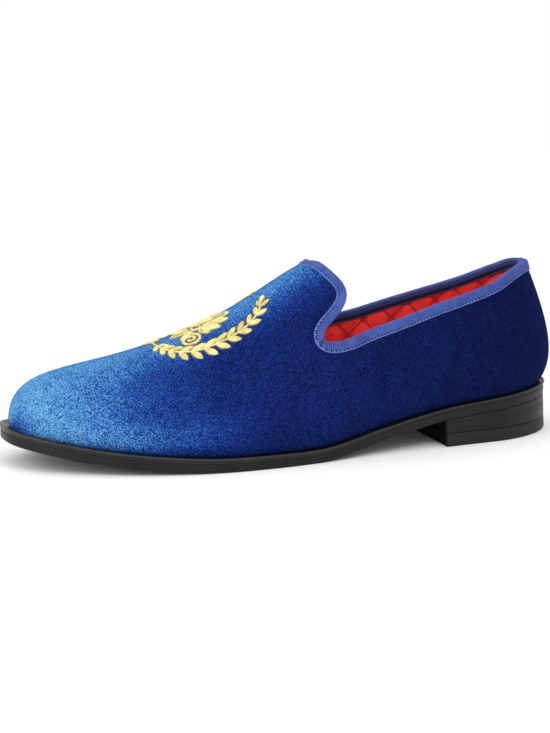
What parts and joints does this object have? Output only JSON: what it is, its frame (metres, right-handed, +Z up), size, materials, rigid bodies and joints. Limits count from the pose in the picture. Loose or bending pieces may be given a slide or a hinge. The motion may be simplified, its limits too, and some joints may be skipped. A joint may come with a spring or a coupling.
{
  "type": "velvet loafer",
  "caption": "Left slip-on loafer with a velvet upper, ribbon-bound topline, quilted lining, thin black sole and low stacked heel.",
  "frame": {"origin": "on the floor, under the middle of the shoe's box", "axes": "+X from toe to heel, +Y towards the medial side, +Z up"},
  "size_m": [0.299, 0.1002, 0.0972],
  "materials": {
    "velvet": "short nap velvet, mottled blue",
    "grosgrain": "ribbed ribbon, soft sheen",
    "lining": "quilted satin",
    "sole_leather": "black dressed edge, satin",
    "heel_rubber": "matt black",
    "gold_thread": "satin stitch thread"
  },
  "bodies": {
    "root": {"upper": "velvet", "topline_binding": "grosgrain", "insole": "lining", "midsole": "sole_leather", "outsole": "sole_leather", "heel": "sole_leather", "top_lift": "heel_rubber"}
  },
  "joints": []
}
